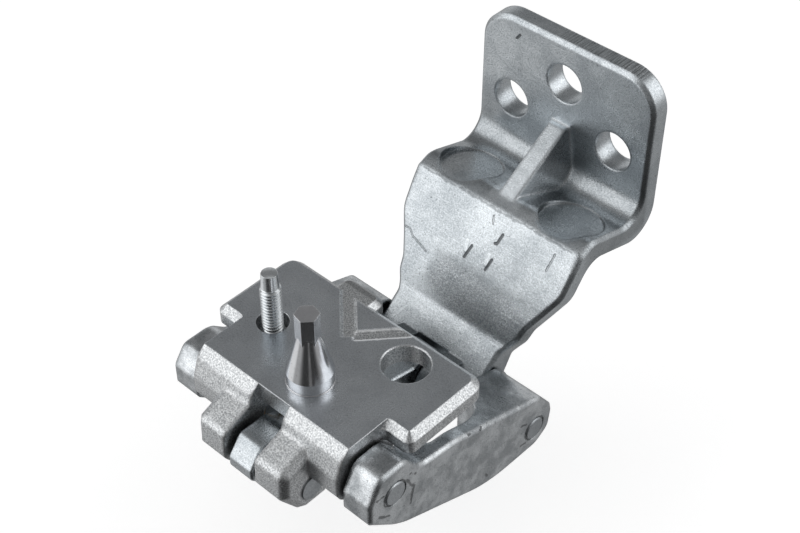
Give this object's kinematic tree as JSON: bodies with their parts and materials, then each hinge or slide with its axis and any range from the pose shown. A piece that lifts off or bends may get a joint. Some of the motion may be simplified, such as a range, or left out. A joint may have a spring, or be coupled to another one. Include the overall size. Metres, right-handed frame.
{
  "type": "car door hinge",
  "caption": "Zinc-plated vehicle door hinge: a door plate with stud and taper pin, folding on levers and a hidden centre link off a gooseneck arm with a bolted foot.",
  "frame": {"origin": "middle of the door plate's top face", "axes": "+X along the hinge pins to the right-hand lever, +Y from the door plate towards the pillar foot, +Z out of the door plate's top face with the hinge closed"},
  "size_m": [0.1018, 0.1842, 0.1298],
  "materials": {
    "plated_forging": "zinc-plated forged steel, lightly mottled satin",
    "plated_plate": "zinc-plated steel, ground satin top and rough cast edges",
    "plated_stud": "bright zinc-plated steel",
    "polished_pin": "polished plated steel",
    "rivet_pin": "turned plated steel with peened ends",
    "bush_bronze": "plain bearing bronze",
    "plated_washer": "pressed plated steel"
  },
  "bodies": {
    "arm": {"gooseneck_arm": "plated_forging", "left_rear_bush": "bush_bronze", "right_rear_bush": "bush_bronze", "link_rear_pin": "rivet_pin"},
    "levers": {"left_lever": "plated_forging", "right_lever": "plated_forging", "left_front_pin": "rivet_pin", "right_front_pin": "rivet_pin", "left_rear_pin": "rivet_pin", "right_rear_pin": "rivet_pin", "left_front_washer": "plated_washer", "right_front_washer": "plated_washer", "left_rear_washer": "plated_washer", "right_rear_washer": "plated_washer"},
    "plate": {"door_plate": "plated_plate", "threaded_stud": "plated_stud", "taper_locating_pin": "polished_pin", "left_front_bush": "bush_bronze", "right_front_bush": "bush_bronze", "ear_pin": "rivet_pin"},
    "link": {"centre_link": "plated_forging", "link_front_bush": "bush_bronze"}
  },
  "joints": [
    {"name": "lever_swing", "type": "hinge", "parent": "arm", "child": "levers", "pos_m": [0, 0.0585, -0.0495], "axis": [1, 0, 0], "range_deg": [0, 50]},
    {"name": "plate_fold", "type": "hinge", "parent": "levers", "child": "plate", "pos_m": [0, -0.0193, -0.0186], "axis": [1, 0, 0], "range_deg": [0, 45]},
    {"name": "link_swing", "type": "hinge", "parent": "plate", "child": "link", "pos_m": [0, -0.032, -0.027], "axis": [1, 0, 0], "range_deg": [-35, 0]}
  ],
  "couplings": [
    {"joint": "plate_fold", "follows": "lever_swing", "ratio": 0.9},
    {"joint": "link_swing", "follows": "lever_swing", "ratio": -0.7}
  ]
}
